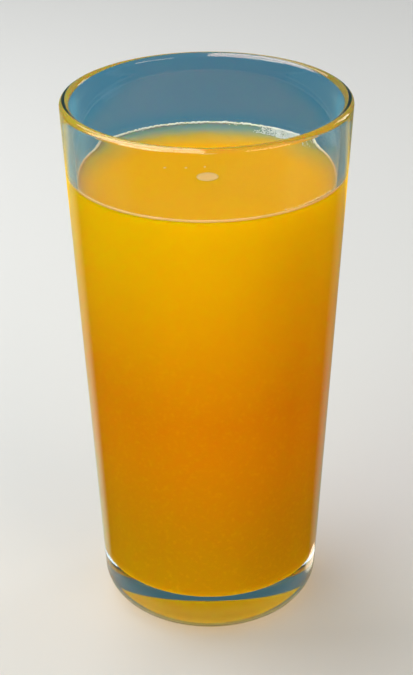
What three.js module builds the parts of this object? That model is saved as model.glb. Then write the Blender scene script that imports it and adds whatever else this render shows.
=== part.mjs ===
// A tall tumbler of clear glass, filled with fruit juice.
// Millimetres, +Z up. The origin is the centre of the base, on the surface that the glass stands on.

import * as THREE from 'three';

// Glass, outside
const HEIGHT = 141.4;
const RIM_OUTER_RADIUS = 36.0;
const OUTER_LEAN = THREE.MathUtils.degToRad(2.98);
const HEEL_RADIUS = 7.6;
const FOOT_RING_WIDTH = 2.4;
const RECESS_RISE = 1.1;

// Glass, inside
const WALL_AT_RIM = 2.4;
const WALL_AT_FLOOR = 3.0;
const FLOOR_HEIGHT = 11.5;
const CORNER_RADIUS = 4.0;

// Juice
const JUICE_LEVEL = 122.1;
const JUICE_GAP = 0.3;
const MENISCUS_RISE = 0.9;
const MENISCUS_FALL_OFF = 0.9;
const MENISCUS_WIDTH = 3.6;

// Facets
const SEGMENTS_ROUND = 96;
const HEEL_STEPS = 9;
const RIM_QUARTER_STEPS = 5;
const CORNER_STEPS = 6;
const RECESS_STEPS = 5;
const MENISCUS_STEPS = 6;

const RIM_RADIUS = WALL_AT_RIM / 2;
const RIM_CENTRE = new THREE.Vector2(RIM_OUTER_RADIUS - RIM_RADIUS, HEIGHT - RIM_RADIUS);

// The outer wall is a straight line that touches the rim's round edge.
function outerRadius(z) {
  const touch = RIM_CENTRE.y - RIM_RADIUS * Math.sin(OUTER_LEAN);
  const atTouch = RIM_CENTRE.x + RIM_RADIUS * Math.cos(OUTER_LEAN);
  return atTouch - (touch - z) * Math.tan(OUTER_LEAN);
}

// The inner wall leans a little more, so the glass thickens towards the floor.
const INSIDE_AT_FLOOR = outerRadius(FLOOR_HEIGHT) - WALL_AT_FLOOR;
const INNER_LEAN = Math.atan((RIM_CENTRE.x - RIM_RADIUS - INSIDE_AT_FLOOR) / (RIM_CENTRE.y - FLOOR_HEIGHT));

// The inner wall is a straight line too, and touches the rim's round edge.
function innerRadius(z) {
  const touch = RIM_CENTRE.y + RIM_RADIUS * Math.sin(INNER_LEAN);
  const atTouch = RIM_CENTRE.x - RIM_RADIUS * Math.cos(INNER_LEAN);
  return atTouch - (touch - z) * Math.tan(INNER_LEAN);
}

// Points of an arc in the profile plane, both ends included. Angles are in radians, from the outward radius.
function arc(centre, radius, from, to, steps) {
  return Array.from({ length: steps + 1 }, (_, i) => {
    const angle = THREE.MathUtils.lerp(from, to, i / steps);
    return new THREE.Vector2(centre.x + radius * Math.cos(angle), centre.y + radius * Math.sin(angle));
  });
}

// The centre of an arc that touches a level plane and a leaning wall.
function filletCentre(wallRadius, lean, planeHeight, radius) {
  const touch = planeHeight + radius * (1 - Math.sin(lean));
  return new THREE.Vector2(wallRadius(touch) - radius * Math.cos(lean), planeHeight + radius);
}

// The shallow hollow under the foot, from its centre out to the flat ring.
function recess(edgeRadius) {
  return Array.from({ length: RECESS_STEPS + 1 }, (_, i) => {
    const share = i / RECESS_STEPS;
    return new THREE.Vector2(edgeRadius * share, RECESS_RISE * (1 - share * share));
  });
}

// The rim's round edge, with a point at its widest and one at its highest.
function rimEdge() {
  const top = Math.PI / 2;
  return [
    ...arc(RIM_CENTRE, RIM_RADIUS, -OUTER_LEAN, 0, 1),
    ...arc(RIM_CENTRE, RIM_RADIUS, 0, top, RIM_QUARTER_STEPS).slice(1),
    ...arc(RIM_CENTRE, RIM_RADIUS, top, Math.PI - INNER_LEAN, RIM_QUARTER_STEPS).slice(1),
  ];
}

function tumblerProfile() {
  const heel = filletCentre(outerRadius, OUTER_LEAN, 0, HEEL_RADIUS);
  const corner = filletCentre(innerRadius, INNER_LEAN, FLOOR_HEIGHT, CORNER_RADIUS);
  return [
    ...recess(heel.x - FOOT_RING_WIDTH),
    ...arc(heel, HEEL_RADIUS, -Math.PI / 2, -OUTER_LEAN, HEEL_STEPS),
    ...rimEdge(),
    ...arc(corner, CORNER_RADIUS, -INNER_LEAN, -Math.PI / 2, CORNER_STEPS),
    new THREE.Vector2(0, FLOOR_HEIGHT),
  ];
}

// The juice's top: level in the middle, climbing a little where it meets the wall.
function meniscus(wallRadius) {
  return Array.from({ length: MENISCUS_STEPS + 1 }, (_, i) => {
    const fromWall = MENISCUS_WIDTH * (i / MENISCUS_STEPS) ** 1.6;
    const rise = MENISCUS_RISE * Math.exp(-fromWall / MENISCUS_FALL_OFF);
    return new THREE.Vector2(wallRadius - fromWall, JUICE_LEVEL + rise);
  });
}

function juiceProfile() {
  const corner = filletCentre(innerRadius, INNER_LEAN, FLOOR_HEIGHT, CORNER_RADIUS);
  const edge = innerRadius(JUICE_LEVEL + MENISCUS_RISE) - JUICE_GAP / Math.cos(INNER_LEAN);
  return [
    new THREE.Vector2(0, FLOOR_HEIGHT + JUICE_GAP),
    ...arc(corner, CORNER_RADIUS - JUICE_GAP, -Math.PI / 2, -INNER_LEAN, CORNER_STEPS),
    ...meniscus(edge),
    new THREE.Vector2(0, JUICE_LEVEL),
  ];
}

// A turned solid, standing on Z, from a profile of (radius, height) points.
function turned(name, profile, material) {
  const geometry = new THREE.LatheGeometry(profile, SEGMENTS_ROUND);
  geometry.rotateX(Math.PI / 2);
  const mesh = new THREE.Mesh(geometry, material);
  mesh.name = name;
  return mesh;
}

const clearGlass = new THREE.MeshStandardMaterial({
  color: 0xcfe0e6,
  roughness: 0.04,
  metalness: 0,
  transparent: true,
  opacity: 0.35,
});
const cloudyJuice = new THREE.MeshStandardMaterial({ color: 0xe4a502, roughness: 0.35, metalness: 0 });

const glassOfJuice = new THREE.Group();
glassOfJuice.add(turned('tumbler', tumblerProfile(), clearGlass));
glassOfJuice.add(turned('orange_juice', juiceProfile(), cloudyJuice));

export default glassOfJuice;
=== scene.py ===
"""A tall tumbler of clear glass, filled with cloudy orange juice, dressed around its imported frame.

Everything is in metres in the frame's own space: +Z up, the base's centre at the origin, the viewer at -Y.
"""

import logging
import math
from dataclasses import dataclass, field
from enum import Enum

import bpy
from mathutils import Matrix, Vector


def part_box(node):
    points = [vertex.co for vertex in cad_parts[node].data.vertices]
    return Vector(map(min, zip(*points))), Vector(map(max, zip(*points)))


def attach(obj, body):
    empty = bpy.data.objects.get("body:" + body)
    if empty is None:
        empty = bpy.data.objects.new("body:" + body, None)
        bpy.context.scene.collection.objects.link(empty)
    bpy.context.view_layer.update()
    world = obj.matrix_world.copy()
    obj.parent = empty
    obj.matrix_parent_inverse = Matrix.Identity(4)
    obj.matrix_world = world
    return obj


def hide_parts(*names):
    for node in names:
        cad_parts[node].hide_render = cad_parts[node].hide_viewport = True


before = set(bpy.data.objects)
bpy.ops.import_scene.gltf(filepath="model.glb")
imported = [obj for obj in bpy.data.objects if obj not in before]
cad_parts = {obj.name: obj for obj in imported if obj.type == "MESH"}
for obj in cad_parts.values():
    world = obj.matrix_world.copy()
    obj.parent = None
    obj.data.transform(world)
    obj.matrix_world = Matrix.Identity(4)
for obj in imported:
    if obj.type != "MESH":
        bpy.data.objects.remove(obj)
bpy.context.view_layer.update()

Colour = tuple[float, float, float]
Place = tuple[float, float, float]
Point = tuple[float, float]
Limits = tuple[float, float]
Socket = bpy.types.NodeSocket
Piece = bpy.types.Object
Finish = bpy.types.Material

MM = 0.001
ORIGIN: Place = (0.0, 0.0, 0.0)
BODY = "root"
SEGMENTS_ROUND = 288
RIPPLE_SCALE = 2.2

log = logging.getLogger("glass_of_juice")


class CadNode(Enum):
    """The frame's nodes that this scene dresses."""

    TUMBLER = "tumbler"
    JUICE = "orange_juice"


class Slot(Enum):
    """The record's material slots."""

    GLASS = "clear_glass"
    JUICE = "cloudy_juice"


class Span(Enum):
    """How far round the glass a band of froth reaches."""

    FULL_CIRCLE = "full circle"
    ARC = "arc"


class NodeSheet:
    """Adds and links the nodes of one tree in few words."""

    def __init__(self, tree: bpy.types.NodeTree) -> None:
        """Keeps the tree, emptied of what it starts with.

        Args:
            tree: the shader or geometry tree to write into.
        """
        self.tree = tree
        tree.nodes.clear()

    def add(self, kind: str, inputs: dict | None = None, **settings: object) -> bpy.types.Node:
        """Adds one node.

        Args:
            kind: the node's Blender type name.
            inputs: values or output sockets, by input name or index.
            settings: the node's own properties.

        Returns:
            The new node.
        """
        node = self.tree.nodes.new(kind)
        for name, value in settings.items():
            setattr(node, name, value)
        for key, value in (inputs or {}).items():
            self.feed(node.inputs[key], value)
        return node

    def out(self, kind: str, inputs: dict | None = None, **settings: object) -> Socket:
        """Adds one node and gives its first output."""
        return self.add(kind, inputs, **settings).outputs[0]

    def feed(self, socket: Socket, value: object) -> None:
        """Sets an input to a constant, or links an output to it.

        Args:
            socket: the input to set.
            value: a constant, or the output socket that feeds it.
        """
        if isinstance(value, Socket):
            self.tree.links.new(value, socket)
        elif isinstance(value, tuple) and len(value) == 3 and socket.type == "RGBA":
            socket.default_value = (*value, 1.0)
        else:
            socket.default_value = value

    def math(self, operation: str, first: object, second: object = 0.0) -> Socket:
        """One step of arithmetic, by the Math node's operation."""
        return self.out("ShaderNodeMath", {0: first, 1: second}, operation=operation)

    def blend(self, share: object, first: object, second: object) -> Socket:
        """Mixes two colours, with a share of the second."""
        return self.add("ShaderNodeMix", {0: share, 6: first, 7: second}, data_type="RGBA").outputs[2]

    def blend_value(self, share: object, first: object, second: object) -> Socket:
        """Mixes two numbers, with a share of the second."""
        return self.out("ShaderNodeMix", {0: share, 2: first, 3: second}, data_type="FLOAT")

    def ramp(self, value: object, low: object, high: object, smooth: bool = True) -> Socket:
        """Turns a value between two limits into 0 to 1.

        Args:
            value: the socket to read.
            low: where the result is 0.
            high: where the result is 1.
            smooth: eases in and out where true.

        Returns:
            The result's socket.
        """
        kind = "SMOOTHSTEP" if smooth else "LINEAR"
        inputs = {"Value": value, "From Min": low, "From Max": high}
        return self.out("ShaderNodeMapRange", inputs, interpolation_type=kind)

    def product(self, first: object, *others: object) -> Socket:
        """Multiplies numbers.

        Args:
            first: the first number or socket.
            others: what it is multiplied by, in turn.

        Returns:
            The product's socket.
        """
        for other in others:
            first = self.math("MULTIPLY", first, other)
        return first

    def swing(self, noise: object, size: object) -> Socket:
        """A noise's distance from its middle, times a size."""
        return self.product(self.math("SUBTRACT", noise, 0.5), size)

    def noise(self, place: object, scale: object, detail: float) -> Socket:
        """A noise's value at a place."""
        inputs = {"Vector": place, "Scale": scale, "Detail": detail}
        return self.add("ShaderNodeTexNoise", inputs).outputs["Fac"]

    def parts(self, vector: object) -> bpy.types.bpy_prop_collection:
        """The outputs X, Y and Z of a vector."""
        return self.add("ShaderNodeSeparateXYZ", {0: vector}).outputs

    def joined(self, x: object = 0.0, y: object = 0.0, z: object = 0.0) -> Socket:
        """A vector from its parts."""
        return self.out("ShaderNodeCombineXYZ", {0: x, 1: y, 2: z})

    def distance(self, first: object, second: object) -> Socket:
        """How far two places are apart."""
        inputs = {0: first, 1: second}
        return self.add("ShaderNodeVectorMath", inputs, operation="DISTANCE").outputs["Value"]

    def scaled(self, place: object, factors: Place) -> Socket:
        """A place with each part times a factor of its own."""
        return self.out("ShaderNodeVectorMath", {0: place, 1: factors}, operation="MULTIPLY")

    def put_out(self, label: str, mesh: object, finish: object) -> None:
        """Smooths a geometry tree's mesh, realizes it, gives it its material and puts it out.

        Args:
            label: the output's name.
            mesh: the mesh's socket.
            finish: the material's socket.
        """
        smooth = self.out("GeometryNodeSetShadeSmooth", {"Geometry": mesh})
        real = self.out("GeometryNodeRealizeInstances", {"Geometry": smooth})
        dressed = self.out("GeometryNodeSetMaterial", {"Geometry": real, "Material": finish})
        self.add("NodeGroupOutput", {label: dressed})


class Group(NodeSheet):
    """A node group. Each kind names the sockets that it takes and gives, and writes its own nodes."""

    NAME = "group"
    KIND = "GeometryNodeTree"
    TAKES: dict[str, str] = {}
    GIVES: dict[str, str] = {}

    def __init__(self) -> None:
        """Builds the tree once."""
        super().__init__(bpy.data.node_groups.new(self.NAME, self.KIND))
        for way, sockets in (("INPUT", self.TAKES), ("OUTPUT", self.GIVES)):
            for name, kind in sockets.items():
                self.tree.interface.new_socket(name=name, in_out=way, socket_type=f"NodeSocket{kind}")
        self.given = self.add("NodeGroupInput").outputs
        self._fill()

    def _fill(self) -> None:
        """Writes the group's nodes."""
        raise NotImplementedError


def new_material(name: str) -> tuple[Finish, NodeSheet]:
    """Makes a material with an empty tree.

    Args:
        name: the material's name.

    Returns:
        The material and its tree, ready to write into.
    """
    material = bpy.data.materials.new(name)
    material.use_nodes = True
    return material, NodeSheet(material.node_tree)


def new_object(name: str, data: bpy.types.ID) -> Piece:
    """Makes an object and links it into the scene.

    Args:
        name: the object's name.
        data: its mesh, lamp or camera.

    Returns:
        The object.
    """
    thing = bpy.data.objects.new(name, data)
    bpy.context.scene.collection.objects.link(thing)
    return thing


@dataclass(frozen=True)
class TumblerForm:
    """The turned form of the glass. Heights are above the surface it stands on."""

    height: float
    rim_radius: float
    outer_lean: float = math.radians(2.98)
    heel_radius: float = 7.6 * MM
    foot_ring_width: float = 2.4 * MM
    recess_rise: float = 1.1 * MM
    wall_at_rim: float = 2.4 * MM
    wall_at_floor: float = 3.0 * MM
    floor_height: float = 11.5 * MM
    corner_radius: float = 4.0 * MM
    round_steps: int = 28
    corner_steps: int = 20
    wall_steps: int = 44
    floor_steps: int = 10

    @classmethod
    def from_frame(cls) -> "TumblerForm":
        """Takes the height and the rim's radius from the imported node."""
        low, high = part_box(CadNode.TUMBLER.value)
        return cls(height=high[2] - low[2], rim_radius=(high[0] - low[0]) / 2)

    @property
    def edge(self) -> float:
        """The radius of the rim's round edge."""
        return self.wall_at_rim / 2

    @property
    def edge_centre(self) -> Point:
        """The centre of the rim's round edge, as radius and height."""
        return self.rim_radius - self.edge, self.height - self.edge

    @property
    def inner_lean(self) -> float:
        """The inner wall's lean, a little more than the outer wall's.

        Returns:
            The angle from the upright.
        """
        radius, height = self.edge_centre
        inside_floor = self.outer_radius(self.floor_height) - self.wall_at_floor
        return math.atan((radius - self.edge - inside_floor) / (height - self.floor_height))

    def _wall_radius(self, z: float, side: float, lean: float) -> float:
        """The radius of a straight wall that touches the rim's round edge.

        Args:
            z: the height.
            side: 1 for the outer wall, -1 for the inner wall.
            lean: the wall's angle from the upright.

        Returns:
            The radius.
        """
        radius, height = self.edge_centre
        touch = height - side * self.edge * math.sin(lean)
        return radius + side * self.edge * math.cos(lean) - (touch - z) * math.tan(lean)

    def outer_radius(self, z: float) -> float:
        """The outer wall's radius at a height."""
        return self._wall_radius(z, 1.0, self.outer_lean)

    def inner_radius(self, z: float) -> float:
        """The inner wall's radius at a height."""
        return self._wall_radius(z, -1.0, self.inner_lean)

    def _fillet_centre(self, plane: float, radius: float, side: float, lean: float) -> Point:
        """The centre of an arc that touches a level plane and a wall, as radius and height."""
        touch = plane + radius * (1 - math.sin(lean))
        return self._wall_radius(touch, side, lean) - radius * math.cos(lean), plane + radius

    def heel_centre(self) -> Point:
        """The centre of the arc between the foot and the outer wall."""
        return self._fillet_centre(0.0, self.heel_radius, 1.0, self.outer_lean)

    def corner_centre(self) -> Point:
        """The centre of the arc between the inner wall and the floor."""
        return self._fillet_centre(self.floor_height, self.corner_radius, -1.0, self.inner_lean)

    def profile(self) -> list[Point]:
        """The glass's section, from the centre of the underside over the rim to the centre of the floor.

        Returns:
            The points, as radius and height.
        """
        heel, corner = self.heel_centre(), self.corner_centre()
        ring = heel[0] - self.foot_ring_width
        recess = [(ring * s, self.recess_rise * (1 - s * s)) for s in even_shares(self.corner_steps)]
        foot = arc(heel, self.heel_radius, -math.pi / 2, -self.outer_lean, self.round_steps)
        edge = arc(self.edge_centre, self.edge, -self.outer_lean, math.pi - self.inner_lean, self.round_steps)
        inner = arc(corner, self.corner_radius, -self.inner_lean, -math.pi / 2, self.corner_steps)
        floor = [(corner[0] * (1 - s), self.floor_height) for s in even_shares(self.floor_steps)[1:]]
        outside = between(foot[-1], edge[0], self.wall_steps)
        inside = between(edge[-1], inner[0], self.wall_steps)
        return [*recess, *foot, *outside, *edge, *inside, *inner, *floor]


def even_shares(steps: int) -> list[float]:
    """Even shares from 0 to 1, both included."""
    return [i / steps for i in range(steps + 1)]


def arc(centre: Point, radius: float, start: float, end: float, steps: int) -> list[Point]:
    """Points of an arc in the section's plane.

    Args:
        centre: the arc's centre, as radius and height.
        radius: the arc's radius.
        start: the first angle, from the outward radius.
        end: the last angle.
        steps: how many pieces the arc is cut into.

    Returns:
        The points, both ends included.
    """
    angles = [start + (end - start) * s for s in even_shares(steps)]
    return [(centre[0] + radius * math.cos(a), centre[1] + radius * math.sin(a)) for a in angles]


def between(first: Point, last: Point, steps: int) -> list[Point]:
    """Points on a straight line, both ends left out.

    Args:
        first: the line's start.
        last: the line's end.
        steps: how many pieces the line is cut into.

    Returns:
        The points between the ends.
    """
    shares = even_shares(steps)[1:-1]
    return [(first[0] + (last[0] - first[0]) * s, first[1] + (last[1] - first[1]) * s) for s in shares]


@dataclass(frozen=True)
class JuiceForm:
    """The body of juice, which reaches just into the glass so that no air gap shows."""

    tumbler: TumblerForm
    level: float
    rise: float
    reach: float = 0.12 * MM
    fall_off: float = 0.9 * MM
    meniscus_width: float = 4.5 * MM
    crowding: float = 1.6
    bottom_steps: int = 8
    bend_steps: int = 20
    wall_steps: int = 60
    meniscus_steps: int = 22
    top_steps: int = 24

    @classmethod
    def from_frame(cls, tumbler: TumblerForm) -> "JuiceForm":
        """Takes the juice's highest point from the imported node, and its level from the meniscus's rise."""
        rise = 0.9 * MM
        return cls(tumbler=tumbler, level=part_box(CadNode.JUICE.value)[1][2] - rise, rise=rise)

    @property
    def edge_radius(self) -> float:
        """The radius at which the juice's top ends, just inside the wall."""
        return self.tumbler.inner_radius(self.level + self.rise) + self.reach

    def height_at(self, radius: float) -> float:
        """The height of the juice's top at a distance from the axis."""
        return self.level + self.rise * math.exp(-max(self.edge_radius - radius, 0.0) / self.fall_off)

    def profile(self) -> list[Point]:
        """The juice's section, from the centre of its bottom over the wall to the centre of its top.

        Returns:
            The points, as radius and height.
        """
        glass = self.tumbler
        corner = glass.corner_centre()
        bottom_height = glass.floor_height - self.reach
        bottom = [(corner[0] * s, bottom_height) for s in even_shares(self.bottom_steps)[:-1]]
        bend = arc(corner, glass.corner_radius + self.reach, -math.pi / 2, -glass.inner_lean, self.bend_steps)
        shares = even_shares(self.meniscus_steps)
        radii = [self.edge_radius - self.meniscus_width * s**self.crowding for s in shares]
        meniscus = [(r, self.height_at(r)) for r in radii]
        inward = [radii[-1] * (1 - s) for s in even_shares(self.top_steps)[1:]]
        top = [(r, self.height_at(r)) for r in inward]
        return [*bottom, *bend, *between(bend[-1], meniscus[0], self.wall_steps), *meniscus, *top]


class TurnedFormTree(Group):
    """A Geometry Nodes tree that turns a section about the Z axis into a closed solid."""

    NAME = "turned_form"
    RIPPLE_STRETCH = 9.0
    FULL_RIPPLE_RADIUS = 36.0 * MM
    MERGE = 1e-7
    TAKES = {
        "Section": "Geometry",
        "Rows": "Int",
        "Segments": "Int",
        "Ripple Depth": "Float",
        "Ripple Scale": "Float",
        "Finish": "Material",
    }
    GIVES = {"Solid": "Geometry"}

    def _fill(self) -> None:
        """Writes the nodes: a grid whose rows take the section's points and whose columns go round."""
        given = self.given
        columns = self.math("ADD", given["Segments"], 1)
        grid = self.out("GeometryNodeMeshGrid", {"Vertices X": columns, "Vertices Y": given["Rows"]})
        index = self.out("GeometryNodeInputIndex")
        column = self.math("FLOOR", self.math("DIVIDE", self.math("ADD", index, 0.5), given["Rows"]))
        row = self.math("SUBTRACT", index, self.math("MULTIPLY", column, given["Rows"]))
        read = {"Geometry": given["Section"], "Value": self.out("GeometryNodeInputPosition"), "Index": row}
        point = self.out("GeometryNodeSampleIndex", read, data_type="FLOAT_VECTOR", domain="POINT")
        section = self.parts(point)
        angle = self.math("MULTIPLY", self.math("DIVIDE", column, given["Segments"]), math.tau)
        cosine, sine = self.math("COSINE", angle), self.math("SINE", angle)
        radius = self._rippled(section, cosine, sine)
        turned = self.joined(self.product(radius, cosine), self.product(radius, sine), section["Z"])
        shaped = self.out("GeometryNodeSetPosition", {"Geometry": grid, "Position": turned})
        closed = self.out("GeometryNodeMergeByDistance", {"Geometry": shaped, "Distance": self.MERGE})
        self.put_out("Solid", closed, given["Finish"])

    def _rippled(self, section: object, cosine: object, sine: object) -> Socket:
        """Draws the surface in by the faint unevenness of moulded glass, never past the true form.

        Args:
            section: the section's point, as X for its radius and Z for its height.
            cosine: the cosine of the angle about the axis.
            sine: the sine of the angle about the axis.

        Returns:
            The radius that is used.
        """
        around = self.joined(cosine, sine, self.product(section["Z"], self.RIPPLE_STRETCH))
        noise = self.noise(around, self.given["Ripple Scale"], 1.0)
        drawn = self.product(noise, self.given["Ripple Depth"], section["X"], 1 / self.FULL_RIPPLE_RADIUS)
        return self.math("SUBTRACT", section["X"], drawn)


def socket_key(tree: bpy.types.NodeTree, name: str) -> str:
    """The identifier of a group's input, which a modifier is set by."""
    return next(s.identifier for s in tree.interface.items_tree if s.in_out == "INPUT" and s.name == name)


def grown(
    name: str, seed_mesh: bpy.types.Mesh, tree: bpy.types.NodeTree, values: dict[str, object]
) -> Piece:
    """Runs a Geometry Nodes tree on a mesh and keeps the result as a plain mesh.

    Args:
        name: the piece's name.
        seed_mesh: what the tree starts from.
        tree: the tree to run.
        values: the tree's inputs by name.

    Returns:
        The piece, with no modifier left on it.
    """
    piece = new_object(name, seed_mesh)
    modifier = piece.modifiers.new(tree.name, "NODES")
    modifier.node_group = tree
    for label, value in values.items():
        modifier[socket_key(tree, label)] = value
    graph = bpy.context.evaluated_depsgraph_get()
    mesh = bpy.data.meshes.new_from_object(piece.evaluated_get(graph), depsgraph=graph)
    piece.modifiers.remove(modifier)
    piece.data = mesh
    mesh.name = name
    mesh.materials.clear()
    mesh.materials.append(values["Finish"])
    mesh.polygons.foreach_set("material_index", [0] * len(mesh.polygons))
    return piece


def section_mesh(points: list[Point]) -> bpy.types.Mesh:
    """A section as a line of points in the XZ plane.

    Args:
        points: the section's points, as radius and height.

    Returns:
        The mesh of points and edges.
    """
    mesh = bpy.data.meshes.new("section")
    edges = [(i, i + 1) for i in range(len(points) - 1)]
    mesh.from_pydata([(r, 0.0, z) for r, z in points], edges, [])
    return mesh


def turned_piece(
    name: str, trees: TurnedFormTree, points: list[Point], finish: Finish, ripple: float
) -> Piece:
    """Turns a section into a closed piece with faces that point out.

    Args:
        name: the piece's name.
        trees: the tree that turns it.
        points: the section.
        finish: the piece's material.
        ripple: how deep the surface's unevenness is.

    Returns:
        The piece.
    """
    values = {
        "Rows": len(points),
        "Segments": SEGMENTS_ROUND,
        "Ripple Depth": ripple,
        "Ripple Scale": RIPPLE_SCALE,
        "Finish": finish,
    }
    return grown(name, section_mesh(points), trees.tree, values)


class BeadTree(Group):
    """A Geometry Nodes tree that lays a bead of froth round the juice's edge, rougher towards the back."""

    NAME = "froth_bead"
    STEPS = 1100
    SIDES = 10
    ROUGH_FROM: Limits = (-7.5 * MM, 30.0 * MM)
    COARSER = 0.37
    THIN_AT_BACK = 0.7
    TAKES = {
        "Start": "Geometry",
        **dict.fromkeys(("Radius", "Height", "Thickness", "Front Wander", "Back Wander", "Grain"), "Float"),
        "Finish": "Material",
    }
    GIVES = {"Bead": "Geometry"}

    def _fill(self) -> None:
        """Writes the nodes: a circle that wanders by noise, swept with a round section of uneven size."""
        given = self.given
        start = {"Resolution": self.STEPS, "Radius": given["Radius"]}
        circle = self.out("GeometryNodeCurvePrimitiveCircle", start)
        place = self.out("GeometryNodeInputPosition")
        back = self.ramp(self.parts(place)["Y"], *self.ROUGH_FROM)
        wander = self.blend_value(back, given["Front Wander"], given["Back Wander"])
        uneven = self.swing(self.noise(place, given["Grain"], 3.0), wander)
        lift = self.joined(z=self.math("ADD", given["Height"], uneven))
        laid = self.out("GeometryNodeSetPosition", {"Geometry": circle, "Offset": lift})
        lumps = self.noise(place, self.product(given["Grain"], self.COARSER), 2.0)
        swell = self.swing(lumps, self.math("ADD", 0.5, back))
        plain = self.blend_value(back, 1.0, self.THIN_AT_BACK)
        size = self.product(given["Thickness"], self.math("ADD", plain, swell))
        section = self.out("GeometryNodeCurvePrimitiveCircle", {"Resolution": self.SIDES, "Radius": 1.0})
        sweep = {"Curve": laid, "Profile Curve": section, "Scale": size}
        self.put_out("Bead", self.out("GeometryNodeCurveToMesh", sweep), given["Finish"])


@dataclass(frozen=True)
class FrothBead:
    """The thin bead of froth where the juice meets the glass."""

    thickness: float = 0.33 * MM
    below_contact: float = 0.20 * MM
    reach: float = 0.06 * MM
    front_wander: float = 0.12 * MM
    back_wander: float = 1.3 * MM
    grain: float = 1200.0

    def build(self, trees: BeadTree, form: JuiceForm, finish: Finish) -> Piece:
        """Makes the bead.

        Args:
            trees: the tree that lays it.
            form: the juice's form, which gives the edge.
            finish: the froth's material.

        Returns:
            The piece.
        """
        values = {
            "Radius": form.edge_radius + self.reach - self.thickness,
            "Height": form.level + form.rise - self.below_contact,
            "Thickness": self.thickness,
            "Front Wander": self.front_wander,
            "Back Wander": self.back_wander,
            "Grain": self.grain,
            "Finish": finish,
        }
        return grown("froth_line", bpy.data.meshes.new("froth_line"), trees.tree, values)


class FrothTree(Group):
    """A Geometry Nodes tree that strews small flattened bubbles along an arc of the juice's edge."""

    NAME = "froth_band"
    CROWDING = 2.4
    SMALL_SHARE = 3.0
    CLUMP_SCALE = 160.0
    RAGGED = 0.12
    TAKES = {
        "Start": "Geometry",
        "Count": "Int",
        **dict.fromkeys(("Radius", "Level", "Rise", "Fall Off", "Spread", "Arc Centre", "Arc Half"), "Float"),
        **dict.fromkeys(("Smallest", "Largest", "Clumping"), "Float"),
        "Seed": "Int",
        "Finish": "Material",
    }
    GIVES = {"Froth": "Geometry"}

    def _random(self, low: float, high: float, shift: int) -> Socket:
        """A random number for each point. The shift is added to the seed, so that each use differs."""
        inputs = {2: low, 3: high, "Seed": self.math("ADD", self.given["Seed"], shift)}
        return self.add("FunctionNodeRandomValue", inputs, data_type="FLOAT").outputs[1]

    def _fill(self) -> None:
        """Writes the nodes: points along the arc, thinned into clumps, each carrying one bubble."""
        given = self.given
        share = self._random(0.0, 1.0, 2)
        inward = self.product(self.math("POWER", share, self.CROWDING), given["Spread"])
        size = self.math("POWER", self._random(0.0, 1.0, 3), self.SMALL_SHARE)
        bubble = self.blend_value(size, given["Smallest"], given["Largest"])
        place = self._placed(inward, bubble)
        strewn = {"Count": given["Count"], "Position": place, "Radius": bubble}
        kept = self._clumped(self.out("GeometryNodePoints", strewn))
        around = self.product(bubble, self._random(1.0, 1.35, 6))
        flat = self.product(bubble, self._random(0.55, 0.9, 5))
        store = {"Geometry": kept, "Name": "size", "Value": self.joined(around, around, flat)}
        stored = self.out("GeometryNodeStoreNamedAttribute", store, data_type="FLOAT_VECTOR")
        size_of = self.out("GeometryNodeInputNamedAttribute", {"Name": "size"}, data_type="FLOAT_VECTOR")
        ball = self.out("GeometryNodeMeshIcoSphere", {"Radius": 1.0, "Subdivisions": 2})
        set_out = {"Points": stored, "Instance": ball, "Scale": size_of}
        self.put_out("Froth", self.out("GeometryNodeInstanceOnPoints", set_out), given["Finish"])

    def _placed(self, inward: object, bubble: object) -> Socket:
        """Places the points on the juice's top, where it climbs at the wall.

        Args:
            inward: how far each point lies from the juice's edge.
            bubble: each bubble's radius.

        Returns:
            The points' places.
        """
        given = self.given
        pair = [self._random(-0.5, 0.5, shift) for shift in (1, 8)]
        turn = self.product(self.math("ADD", *pair), given["Arc Half"])
        angle = self.math("ADD", given["Arc Centre"], turn)
        radius = self.math("SUBTRACT", self.math("SUBTRACT", given["Radius"], inward), bubble)
        fall = self.math("EXPONENT", self.math("DIVIDE", self.product(inward, -1.0), given["Fall Off"]))
        surface = self.math("ADD", given["Level"], self.product(fall, given["Rise"]))
        lift = self.product(bubble, self._random(-0.2, 0.5, 4))
        x, y = (self.product(radius, self.math(function, angle)) for function in ("COSINE", "SINE"))
        return self.joined(x, y, self.math("ADD", surface, lift))

    def _clumped(self, points: object) -> Socket:
        """Drops points between clumps, so that the band is uneven.

        Args:
            points: the points' geometry.

        Returns:
            The points that stay.
        """
        noise = self.noise(self.out("GeometryNodeInputPosition"), self.CLUMP_SCALE, 2.0)
        ragged = self._random(-self.RAGGED, self.RAGGED, 7)
        compared = {0: self.math("ADD", noise, ragged), 1: self.given["Clumping"]}
        gone = self.out("FunctionNodeCompare", compared, operation="LESS_THAN")
        return self.out("GeometryNodeDeleteGeometry", {"Geometry": points, "Selection": gone})


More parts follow.
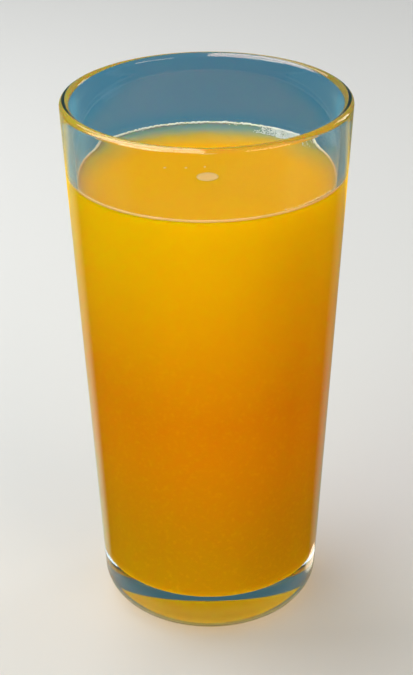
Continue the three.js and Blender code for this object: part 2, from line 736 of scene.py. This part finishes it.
@dataclass(frozen=True)
class GlassFinish:
    """Clear polished glass with a faint blue-grey cast that deepens where it is thick."""

    cast: Colour = (0.96, 0.985, 0.99)
    thick_cast: Colour = (0.52, 0.64, 0.65)
    density: float = 21.0
    shadow: Colour = (0.94, 0.96, 0.965)
    roughness: float = 0.012
    index: float = 1.5
    smear_scale: float = 90.0
    smeared: Limits = (0.52, 0.8)
    smear_roughness: float = 0.02
    smear_dimming: float = 0.98

    def build(self) -> Finish:
        """Makes the material. Light rays pass it, so the lamps reach the juice.

        Returns:
            The material.
        """
        material, sheet = new_material("clear_glass")
        place = sheet.add("ShaderNodeTexCoord").outputs["Object"]
        handled = sheet.ramp(sheet.noise(place, self.smear_scale, 3.0), *self.smeared)
        dimmed = tuple(c * self.smear_dimming for c in self.cast)
        shell = sheet.out(
            "ShaderNodeBsdfPrincipled",
            {
                "Base Color": sheet.blend(handled, self.cast, dimmed),
                "Roughness": sheet.math("ADD", self.roughness, sheet.product(handled, self.smear_roughness)),
                "IOR": self.index,
                "Transmission Weight": 1.0,
            },
        )
        clear = sheet.out("ShaderNodeBsdfTransparent", {"Color": self.shadow})
        lamp_ray = sheet.add("ShaderNodeLightPath").outputs["Is Shadow Ray"]
        surface = sheet.out("ShaderNodeMixShader", {0: lamp_ray, 1: shell, 2: clear})
        volume = sheet.out("ShaderNodeVolumeAbsorption", {"Color": self.thick_cast, "Density": self.density})
        sheet.add("ShaderNodeOutputMaterial", {"Surface": surface, "Volume": volume})
        return material


class PulpAndShadeGroup(Group):
    """A shader group for the juice's tone: lighter at the top and darker towards the bottom and the foot,
    which is painted shade, with drifts of pulp.
    """

    NAME = "juice_pulp_and_shade"
    KIND = "ShaderNodeTree"
    DRIFT_SCALE = 26.0
    DRIFT_DEPTH = 0.35
    PULP_SCALE = 900.0
    PULPY: Limits = (0.5, 0.75)
    FOOT: Limits = (62.0 * MM, 14.0 * MM)
    TAKES = {
        "Place": "Vector",
        **dict.fromkeys(("Top Tone", "Deep Tone", "Foot Tone", "Pulp Tone"), "Color"),
        **dict.fromkeys(("Level", "Depth", "Pulp Share"), "Float"),
    }
    GIVES = {"Colour": "Color", "Drift": "Float"}

    def _fill(self) -> None:
        """Writes the nodes."""
        given = self.given
        height = self.parts(given["Place"])["Z"]
        below = self.math("DIVIDE", self.math("SUBTRACT", given["Level"], height), given["Depth"])
        drift = self.swing(self.noise(given["Place"], self.DRIFT_SCALE, 3.0), self.DRIFT_DEPTH)
        # Painted shade: the tone deepens with depth below the level, and again towards the foot.
        depth = self.ramp(self.math("ADD", below, drift), 0.0, 1.0, smooth=False)
        body = self.blend(depth, given["Top Tone"], given["Deep Tone"])
        tone = self.blend(self.ramp(height, *self.FOOT), body, given["Foot Tone"])
        fine = self.noise(given["Place"], self.PULP_SCALE, 4.0)
        pulp = self.product(self.ramp(fine, *self.PULPY), given["Pulp Share"])
        self.add("NodeGroupOutput", {"Colour": self.blend(pulp, tone, given["Pulp Tone"]), "Drift": fine})


@dataclass(frozen=True)
class JuiceFinish:
    """Cloudy orange juice, lighter and yellower at the top and deeper towards the bottom and the foot:
    painted light and shade.
    """

    form: JuiceForm
    pulp_and_shade: PulpAndShadeGroup
    # The wet top's tone is darker and redder than the body's top tone: painted shade on the same juice.
    surface_tone: Colour = (0.88, 0.40, 0.001)
    # The top, deep and foot tones are painted light and shade: lighter near the lit top, darker and redder
    # lower down.
    top_tone: Colour = (0.93, 0.56, 0.001)
    deep_tone: Colour = (0.80, 0.30, 0.001)
    foot_tone: Colour = (0.64, 0.31, 0.002)
    film_tone: Colour = (0.40, 0.35, 0.07)
    # Painted shadow and painted reflection: the dark blue-green band at the back edge of the juice's top.
    painted_shadow_reflection_tone: Colour = (0.17, 0.30, 0.26)
    pulp_tone: Colour = (0.93, 0.50, 0.003)
    pulp_share: float = 0.2
    depth: float = 0.055
    scatter: Colour = (1.0, 0.42, 0.04)
    scatter_length: float = 3.5 * MM
    index: float = 1.34
    dry_roughness: float = 0.6
    wet_roughness: float = 0.14
    wet_shine: float = 0.08
    wet_relief: float = 0.12
    relief_height: float = 0.05 * MM
    film_centre: Place = (0.0, -12.0 * MM, 0.0)
    film_reach: Limits = (-6.0 * MM, 8.0 * MM)
    film_share: float = 0.85
    painted_shadow_reflection_reach: Limits = (3.0 * MM, 10.5 * MM)
    ragged_scale: float = 140.0
    ragged: float = 2.4 * MM

    def _shader(self, sheet: NodeSheet, colour: object, drift: object, wet: bool) -> Socket:
        """The juice's surface shader.

        Args:
            sheet: the tree to write into.
            colour: the base colour's socket.
            drift: the fine relief's socket.
            wet: true where the surface meets air and shines.

        Returns:
            The shader's socket.
        """
        strength = self.wet_relief if wet else 0.0
        relief = {"Height": drift, "Strength": strength, "Distance": self.relief_height}
        return sheet.out(
            "ShaderNodeBsdfPrincipled",
            {
                "Base Color": colour,
                "Roughness": self.wet_roughness if wet else self.dry_roughness,
                "IOR": self.index,
                "Specular IOR Level": self.wet_shine if wet else 0.0,
                "Subsurface Weight": 1.0,
                "Subsurface Radius": self.scatter,
                "Subsurface Scale": self.scatter_length,
                "Normal": sheet.out("ShaderNodeBump", relief),
            },
        )

    def _pulp_and_shade(self, sheet: NodeSheet, upper_tone: Colour) -> tuple[Socket, bpy.types.Node]:
        """Places the group of pulp and painted shade.

        Args:
            sheet: the tree to write into.
            upper_tone: the juice's tone at its level.

        Returns:
            The Object coordinates and the group's node.
        """
        place = sheet.add("ShaderNodeTexCoord").outputs["Object"]
        values = {
            "Place": place,
            "Top Tone": upper_tone,
            "Deep Tone": self.deep_tone,
            "Foot Tone": self.foot_tone,
            "Pulp Tone": self.pulp_tone,
            "Level": self.form.level,
            "Depth": self.depth,
            "Pulp Share": self.pulp_share,
        }
        return place, sheet.add("ShaderNodeGroup", values, node_tree=self.pulp_and_shade.tree)

    def build_body(self) -> Finish:
        """Makes the material of the juice where it touches the glass.

        Returns:
            The material.
        """
        material, sheet = new_material("juice_body")
        _, pulp_and_shade = self._pulp_and_shade(sheet, self.top_tone)
        shader = self._shader(sheet, pulp_and_shade.outputs["Colour"], pulp_and_shade.outputs["Drift"], wet=False)
        sheet.add("ShaderNodeOutputMaterial", {"Surface": shader})
        return material

    def build_top(self) -> Finish:
        """Makes the material of the juice's wet top, with a dull olive veil towards the back and, at the very
        back, a dark blue-green band of painted shadow and painted reflection.

        Returns:
            The material.
        """
        material, sheet = new_material("juice_top")
        place, pulp_and_shade = self._pulp_and_shade(sheet, self.surface_tone)
        away = sheet.distance(sheet.scaled(place, (1.0, 1.0, 0.0)), self.film_centre)
        reach = sheet.math("ADD", away, sheet.swing(sheet.noise(place, self.ragged_scale, 3.0), self.ragged))
        film, edge = (
            sheet.ramp(reach, *(self.form.edge_radius + limit for limit in limits))
            for limits in (self.film_reach, self.painted_shadow_reflection_reach)
        )
        veiled = sheet.blend(sheet.product(film, self.film_share), pulp_and_shade.outputs["Colour"], self.film_tone)
        # The back edge band is painted shadow and painted reflection.
        colour = sheet.blend(edge, veiled, self.painted_shadow_reflection_tone)
        shader = self._shader(sheet, colour, pulp_and_shade.outputs["Drift"], wet=True)
        sheet.add("ShaderNodeOutputMaterial", {"Surface": shader})
        return material


@dataclass(frozen=True)
class FrothFinish:
    """Pale froth: wet walls of tiny bubbles, pale grey-green towards the back and warm orange in front."""

    pale: Colour = (0.74, 0.80, 0.73)
    warm: Colour = (0.94, 0.53, 0.18)
    patch_scale: float = 700.0
    patch_shift: float = 8.0 * MM
    pale_from: Limits = (2.0 * MM, 26.0 * MM)
    roughness: float = 0.22
    index: float = 1.34
    milkiness: float = 0.6
    scatter: Colour = (1.0, 0.8, 0.5)
    scatter_length: float = 0.4 * MM
    wet_coat: float = 0.3

    def build(self) -> Finish:
        """Makes the material.

        Returns:
            The material.
        """
        material, sheet = new_material("froth")
        place = sheet.add("ShaderNodeTexCoord").outputs["Object"]
        patch = sheet.product(sheet.noise(place, self.patch_scale, 2.0), self.patch_shift)
        back = sheet.ramp(sheet.math("ADD", sheet.parts(place)["Y"], patch), *self.pale_from)
        shader = sheet.out(
            "ShaderNodeBsdfPrincipled",
            {
                "Base Color": sheet.blend(back, self.warm, self.pale),
                "Roughness": self.roughness,
                "IOR": self.index,
                "Subsurface Weight": self.milkiness,
                "Subsurface Radius": self.scatter,
                "Subsurface Scale": self.scatter_length,
                "Coat Weight": self.wet_coat,
            },
        )
        sheet.add("ShaderNodeOutputMaterial", {"Surface": shader})
        return material


@dataclass(frozen=True)
class FrothBand:
    """One stretch of froth along the juice's edge."""

    name: str
    span: Span
    count: int
    spread: float
    smallest: float
    largest: float
    clumping: float
    seed: int
    centre_deg: float = 0.0
    half_deg: float = 180.0
    lift: float = 0.0

    def build(self, trees: FrothTree, form: JuiceForm, finish: Finish) -> Piece:
        """Makes the band's bubbles.

        Args:
            trees: the tree that strews them.
            form: the juice's form, which gives the edge.
            finish: the froth's material.

        Returns:
            The piece.
        """
        half = 360.0 if self.span is Span.FULL_CIRCLE else self.half_deg
        values = {
            "Count": self.count,
            "Radius": form.edge_radius - form.reach,
            "Level": form.level + self.lift,
            "Rise": form.rise,
            "Fall Off": form.fall_off,
            "Spread": self.spread,
            "Arc Centre": math.radians(self.centre_deg),
            "Arc Half": math.radians(half),
            "Smallest": self.smallest,
            "Largest": self.largest,
            "Clumping": self.clumping,
            "Seed": self.seed,
            "Finish": finish,
        }
        return grown(self.name, bpy.data.meshes.new(self.name), trees.tree, values)


@dataclass(frozen=True)
class SurfaceBubble:
    """A flat bubble that floats on the juice."""

    x: float
    y: float
    radius: float
    crown: float
    rings: int = 8
    sides: int = 28
    start_deg: float = -40.0
    sweep_deg: float = 126.0

    def add_to(self, points: list[tuple], faces: list[tuple], form: JuiceForm) -> None:
        """Adds the bubble's low dome and its underside to a mesh's lists.

        Args:
            points: the mesh's points so far.
            faces: the mesh's faces so far.
            form: the juice's form, which gives the level.
        """
        start, sides = len(points), self.sides
        for angle in self._angles():
            radius, height = self.radius * math.cos(angle), self.crown * math.sin(angle)
            for i in range(sides):
                turn = math.tau * i / sides
                across = self.x + radius * math.cos(turn), self.y + radius * math.sin(turn)
                points.append((*across, form.level + height))
        for ring in range(self.rings):
            low = start + ring * sides
            for i in range(sides):
                j = (i + 1) % sides
                faces.append((low + i, low + j, low + sides + j, low + sides + i))
        faces.append(tuple(start + i for i in reversed(range(sides))))
        faces.append(tuple(start + self.rings * sides + i for i in range(sides)))

    def _angles(self) -> list[float]:
        """The dome's ring angles, from just under the juice to near the crown."""
        return [math.radians(self.start_deg + self.sweep_deg * s) for s in even_shares(self.rings)]


@dataclass
class Tumbler:
    """The glass itself."""

    form: TumblerForm
    ripple: float = 0.035 * MM
    finish: GlassFinish = field(default_factory=GlassFinish)

    def build(self, trees: TurnedFormTree) -> Piece:
        """Makes the glass and sets it in the frame."""
        piece = turned_piece("tumbler_glass", trees, self.form.profile(), self.finish.build(), self.ripple)
        return settle(piece, CadNode.TUMBLER)


@dataclass
class Juice:
    """The juice with its froth and bubbles."""

    form: JuiceForm
    wet_depth: float = 0.05 * MM
    wet_facing: float = 0.2
    pulp_and_shade: PulpAndShadeGroup = field(default_factory=PulpAndShadeGroup)
    bead: FrothBead = field(default_factory=FrothBead)
    bands: tuple[FrothBand, ...] = (
        FrothBand("froth_crumbs", Span.FULL_CIRCLE, 420, 0.7 * MM, 0.06 * MM, 0.20 * MM, 0.46, 11),
        FrothBand("froth_back_right", Span.ARC, 2300, 3.4 * MM, 0.07 * MM, 0.22 * MM, 0.36, 23, 46.0, 20.0),
        FrothBand(
            "froth_front_right", Span.ARC, 120, 0.3 * MM, 0.10 * MM, 0.26 * MM, 0.36, 31, -42.0, 16.0,
            lift=0.42 * MM,
        ),
    )
    bubbles: tuple[SurfaceBubble, ...] = (
        SurfaceBubble(0.1 * MM, -3.5 * MM, 2.75 * MM, 0.22 * MM),
        SurfaceBubble(-10.6 * MM, 2.7 * MM, 0.40 * MM, 0.10 * MM),
        SurfaceBubble(-5.3 * MM, 2.5 * MM, 0.36 * MM, 0.10 * MM),
        SurfaceBubble(-0.55 * MM, 2.9 * MM, 0.30 * MM, 0.10 * MM),
    )

    def build(self, turned: TurnedFormTree, beads: BeadTree, froth: FrothTree) -> list[Piece]:
        """Makes the juice and everything on it.

        Args:
            turned: the tree that turns the juice's body.
            beads: the tree that lays the froth's bead.
            froth: the tree that strews the froth's bubbles.

        Returns:
            The pieces.
        """
        finish = JuiceFinish(self.form, self.pulp_and_shade)
        body = turned_piece("juice_body", turned, self.form.profile(), finish.build_body(), 0.0)
        self._wet_the_top(body, finish.build_top())
        settle(body, CadNode.JUICE)
        pale = FrothFinish().build()
        bead = settle(self.bead.build(beads, self.form, pale))
        bands = [settle(band.build(froth, self.form, pale)) for band in self.bands]
        return [body, bead, *bands, settle(self._floating(pale))]

    def _wet_the_top(self, body: Piece, finish: Finish) -> None:
        """Gives the faces that meet air the wet finish.

        Args:
            body: the juice's body.
            finish: the wet finish.
        """
        body.data.materials.append(finish)
        lowest = self.form.level - self.wet_depth
        for face in body.data.polygons:
            if face.center.z > lowest and face.normal.z > self.wet_facing:
                face.material_index = 1

    def _floating(self, finish: Finish) -> Piece:
        """Makes the few bubbles that float on the juice.

        Args:
            finish: the froth's material.

        Returns:
            The piece.
        """
        points: list[tuple] = []
        faces: list[tuple] = []
        for bubble in self.bubbles:
            bubble.add_to(points, faces, self.form)
        mesh = bpy.data.meshes.new("floating_bubbles")
        mesh.from_pydata(points, [], faces)
        mesh.shade_smooth()
        mesh.materials.append(finish)
        return new_object("floating_bubbles", mesh)


def settle(piece: Piece, stands_for: CadNode | None = None) -> Piece:
    """Ties a piece to the frame.

    Args:
        piece: the piece.
        stands_for: the CAD node that it replaces, if any.

    Returns:
        The same piece.
    """
    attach(piece, BODY)
    if stands_for is not None:
        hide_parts(stands_for.value)
    return piece


@dataclass(frozen=True)
class Lamp:
    """A soft area lamp that looks at one point."""

    name: str
    place: Place
    target: Place
    width: float
    height: float
    power: float
    tint: Colour = (1.0, 1.0, 1.0)

    def build(self) -> Piece:
        """Makes the lamp.

        Returns:
            The lamp's object.
        """
        data = bpy.data.lights.new(self.name, "AREA")
        data.shape, data.size, data.size_y = "RECTANGLE", self.width, self.height
        data.energy, data.color = self.power, self.tint
        lamp = new_object(self.name, data)
        lamp.location = self.place
        lamp.rotation_euler = (Vector(self.target) - Vector(self.place)).to_track_quat("-Z", "Y").to_euler()
        lamp.visible_camera = lamp.visible_transmission = False
        return lamp


@dataclass(frozen=True)
class Surroundings:
    """What the glass bends and mirrors, which the plain studio doesn't show the viewer: painted refractions
    and painted reflections of surroundings that are not built.

    On the floor the tones go by place, from the foot's centre, and in the dome by direction.
    """

    cool_tone: Colour = (0.044, 0.187, 0.295)
    side_tone: Colour = (0.12, 0.335, 0.44)
    linen_tone: Colour = (0.50, 0.42, 0.24)
    front_tone: Colour = (0.035, 0.10, 0.14)
    side_start: Limits = (0.085, 0.12)
    linen_start: Limits = (0.145, 0.205)
    linen_share: float = 0.5
    front_end: Limits = (-0.16, -0.08)
    pale_tone: Colour = (0.60, 0.62, 0.60)
    dark_tone: Colour = (0.012, 0.012, 0.012)
    grey_tone: Colour = (0.60, 0.74, 0.62)
    beige_tone: Colour = (0.62, 0.54, 0.27)
    sand_tone: Colour = (1.20, 0.75, 0.05)
    # A bright patch seen only in the glass's mirror: a painted highlight on the base.
    highlight_patch_tone: Colour = (3.0, 3.1, 2.8)
    pale_reach: Limits = (0.036, 0.043)
    wall_half: float = 0.028
    wall_back: float = 0.008
    wall_slant: Limits = (1.3, 0.6)
    wall_start: Limits = (-0.01, 0.01)
    beige_start: Limits = (0.03, 0.16)
    dim_side: Limits = (0.0, 0.05)
    dimming: float = 0.45
    sand_start: Limits = (0.225, 0.27)
    sand_end: Limits = (0.315, 0.285)
    highlight_patch_place: Place = (0.0366, 0.0016, 0.0)
    highlight_patch_stretch: Place = (1.0, 0.4, 1.0)
    highlight_patch_edge: Limits = (0.0040, 0.0026)
    haze_tone: Colour = (0.085, 0.205, 0.25)
    warm_tone: Colour = (0.56, 0.36, 0.06)
    # A bright card seen only in reflections: a painted highlight on the rim.
    card_highlight_glow: Colour = (10.0, 7.0, 5.4)
    warm_below: Limits = (0.52, 0.46)
    warm_behind: Limits = (0.0, 0.3)
    card_side: Limits = (0.0, -0.06)
    card_depth: Limits = (0.36, 0.16)
    card_rise: Limits = (0.12, 0.30)

    def _seen(self, sheet: NodeSheet, plain: Colour, through: object, mirrored: object) -> Socket:
        """Gives a surface one tone for the viewer and the light, and others for what the glass shows of it.

        Args:
            sheet: the tree to write into.
            plain: the tone that the viewer sees and that lights the scene.
            through: the tone seen through the glass.
            mirrored: the tone mirrored in the glass.

        Returns:
            The tone's socket.
        """
        path = sheet.add("ShaderNodeLightPath").outputs
        direct = sheet.math("SUBTRACT", 1.0, sheet.math("MINIMUM", path["Diffuse Depth"], 1.0))
        bent = sheet.blend(sheet.product(path["Is Transmission Ray"], direct), plain, through)
        return sheet.blend(sheet.product(path["Is Reflection Ray"], direct), bent, mirrored)

    def _floor_through(self, sheet: NodeSheet, place: object) -> Socket:
        """The floor's tone through the glass: cool behind, paler at the sides and darker in front.

        Args:
            sheet: the tree to write into.
            place: the place on the floor.

        Returns:
            The tone's socket.
        """
        apart = sheet.parts(place)
        across = sheet.math("ABSOLUTE", apart["X"])
        middle = sheet.blend(sheet.ramp(across, *self.side_start), self.cool_tone, self.side_tone)
        outer = sheet.product(sheet.ramp(across, *self.linen_start), self.linen_share)
        behind = sheet.blend(outer, middle, self.linen_tone)
        return sheet.blend(sheet.ramp(apart["Y"], *self.front_end), self.front_tone, behind)

    def _floor_mirrored(self, sheet: NodeSheet, place: object) -> Socket:
        """The floor's tone in the glass's mirror: pale at the foot, dark in front, a wall behind, and one
        bright patch that is a painted highlight.

        Args:
            sheet: the tree to write into.
            place: the place on the floor.

        Returns:
            The tone's socket.
        """
        apart = sheet.parts(place)
        beside = sheet.math("SUBTRACT", sheet.math("ABSOLUTE", apart["X"]), self.wall_half)
        depth = sheet.math("MAXIMUM", sheet.math("ADD", apart["Y"], self.wall_back), MM)
        behind = sheet.ramp(sheet.math("DIVIDE", beside, depth), *self.wall_slant)
        wall = sheet.blend(sheet.ramp(apart["Y"], *self.beige_start), self.grey_tone, self.beige_tone)
        dimmed = sheet.product(sheet.ramp(apart["X"], *self.dim_side), self.dimming)
        started = sheet.ramp(apart["Y"], *self.wall_start)
        shown = sheet.product(behind, sheet.math("SUBTRACT", 1.0, dimmed), started)
        sand = sheet.product(behind, *(sheet.ramp(apart["Y"], *x) for x in (self.sand_start, self.sand_end)))
        far = sheet.blend(sand, sheet.blend(shown, self.dark_tone, wall), self.sand_tone)
        away = sheet.distance(place, ORIGIN)
        near = sheet.blend(sheet.ramp(away, *self.pale_reach), self.pale_tone, far)
        # Painted highlight: a bright patch mirrored in the base.
        to_highlight_patch = sheet.distance(sheet.scaled(place, self.highlight_patch_stretch), self.highlight_patch_place)
        return sheet.blend(sheet.ramp(to_highlight_patch, *self.highlight_patch_edge), near, self.highlight_patch_tone)

    def on_floor(self, sheet: NodeSheet, place: object, plain: Colour) -> Socket:
        """The floor's tone at a place: plain for the viewer, and others for the glass."""
        through, mirrored = self._floor_through(sheet, place), self._floor_mirrored(sheet, place)
        return self._seen(sheet, plain, through, mirrored)

    def in_dome(self, sheet: NodeSheet, plain: Colour, strength: float) -> Socket:
        """The dome's tone for the viewer and for the glass: haze, warm low behind, and a bright card seen
        only in reflections, a painted highlight.

        Args:
            sheet: the tree to write into.
            plain: the tone that the viewer sees and that lights the scene.
            strength: the dome's strength, which the other tones don't follow.

        Returns:
            The tone's socket.
        """
        toward = sheet.parts(sheet.add("ShaderNodeTexCoord").outputs["Generated"])
        tones = (self.haze_tone, self.warm_tone, self.card_highlight_glow)
        haze, warm, glow = (tuple(c / strength for c in tone) for tone in tones)
        below, behind = sheet.ramp(toward["Z"], *self.warm_below), sheet.ramp(toward["Y"], *self.warm_behind)
        low = sheet.product(below, behind)
        # The bright card is a painted highlight, shown only in reflections.
        sides = {"X": self.card_side, "Y": self.card_depth, "Z": self.card_rise}
        card = sheet.product(*(sheet.ramp(toward[axis], *limits) for axis, limits in sides.items()))
        return self._seen(sheet, plain, sheet.blend(low, haze, warm), sheet.blend(card, haze, glow))


@dataclass(frozen=True)
class Studio:
    """The pale floor, the light and the camera."""

    around: Surroundings = field(default_factory=Surroundings)
    floor_tone: Colour = (0.74, 0.74, 0.73)
    floor_half: float = 3.0
    glow_tone: Colour = (1.75, 1.62, 1.80)
    glow_reach: Limits = (0.034, 0.028)
    dome_tone: Colour = (0.86, 0.88, 0.90)
    dome_strength: float = 0.40
    bounces: int = 24
    eye: Place = (-0.00051, -0.39774, 0.28120)
    pitch_down: float = math.radians(27.375)
    roll: float = math.radians(-0.508)
    lens: float = 91.4
    sensor: float = 36.0
    clip: Limits = (0.01, 20.0)
    lamps: tuple[Lamp, ...] = (
        Lamp("key", (-0.74, -0.60, 0.29), (0.0, 0.0, 0.06), 0.60, 0.50, 4.9, (0.88, 1.0, 0.85)),
        Lamp("fill", (0.69, -0.66, 0.30), (0.0, 0.0, 0.08), 0.60, 0.45, 3.9, (1.0, 0.82, 0.60)),
        Lamp("overhead", (-0.31, 0.25, 0.59), (-0.31, 0.25, 0.0), 0.58, 0.60, 3.2),
        Lamp("rim_light", (0.60, 0.50, 0.34), (0.0, 0.0, 0.09), 0.16, 0.40, 0.8),
    )

    def _floor(self) -> None:
        """Makes the plain floor, with a soft glow under the foot that only lights the juice."""
        half = self.floor_half
        mesh = bpy.data.meshes.new("studio_floor")
        corners = [(-half, -half, 0.0), (half, -half, 0.0), (half, half, 0.0), (-half, half, 0.0)]
        mesh.from_pydata(corners, [], [(0, 1, 2, 3)])
        floor = new_object("studio_floor", mesh)
        material, sheet = new_material("studio_floor")
        place = sheet.add("ShaderNodeTexCoord").outputs["Object"]
        tone = self.around.on_floor(sheet, place, self.floor_tone)
        matt = sheet.out("ShaderNodeBsdfDiffuse", {"Color": tone})
        deep = sheet.math("MINIMUM", sheet.add("ShaderNodeLightPath").outputs["Diffuse Depth"], 1.0)
        under = sheet.product(deep, sheet.ramp(sheet.distance(place, ORIGIN), *self.glow_reach))
        glow = sheet.out("ShaderNodeEmission", {"Color": self.glow_tone, "Strength": under})
        lit = sheet.out("ShaderNodeAddShader", {0: matt, 1: glow})
        sheet.add("ShaderNodeOutputMaterial", {"Surface": lit})
        mesh.materials.append(material)

    def _dome(self) -> None:
        """Makes the soft light from all round."""
        world = bpy.data.worlds.new("studio_dome")
        world.use_nodes = True
        sheet = NodeSheet(world.node_tree)
        colour = self.around.in_dome(sheet, self.dome_tone, self.dome_strength)
        light = sheet.out("ShaderNodeBackground", {"Color": colour, "Strength": self.dome_strength})
        sheet.add("ShaderNodeOutputWorld", {"Surface": light})
        bpy.context.scene.world = world

    def _camera(self) -> None:
        """Makes the camera at the viewer's place."""
        data = bpy.data.cameras.new("viewer")
        data.lens, data.sensor_width = self.lens, self.sensor
        data.clip_start, data.clip_end = self.clip
        camera = new_object("viewer", data)
        tilt = Matrix.Rotation(math.pi / 2 - self.pitch_down, 4, "X")
        camera.matrix_world = Matrix.Translation(self.eye) @ tilt @ Matrix.Rotation(self.roll, 4, "Z")
        bpy.context.scene.camera = camera

    def _light_paths(self) -> None:
        """Lets light cross the glass often enough that the rim and the base stay clear."""
        cycles = bpy.context.scene.cycles
        cycles.max_bounces = cycles.glossy_bounces = cycles.transmission_bounces = self.bounces

    def build(self) -> None:
        """Makes the whole studio."""
        bpy.context.scene.view_settings.view_transform = "Standard"
        self._light_paths()
        self._camera()
        self._floor()
        self._dome()
        for lamp in self.lamps:
            lamp.build()


def main() -> None:
    """Builds the studio, the glass and the juice, and reports each piece."""
    logging.basicConfig(level=logging.INFO, format="%(message)s")
    Studio().build()
    tumbler_form = TumblerForm.from_frame()
    turned = TurnedFormTree()
    glass = Tumbler(tumbler_form).build(turned)
    drink = Juice(JuiceForm.from_frame(tumbler_form)).build(turned, BeadTree(), FrothTree())
    for piece in [glass, *drink]:
        log.info("%s: %d faces", piece.name, len(piece.data.polygons))


if __name__ == "__main__":
    main()
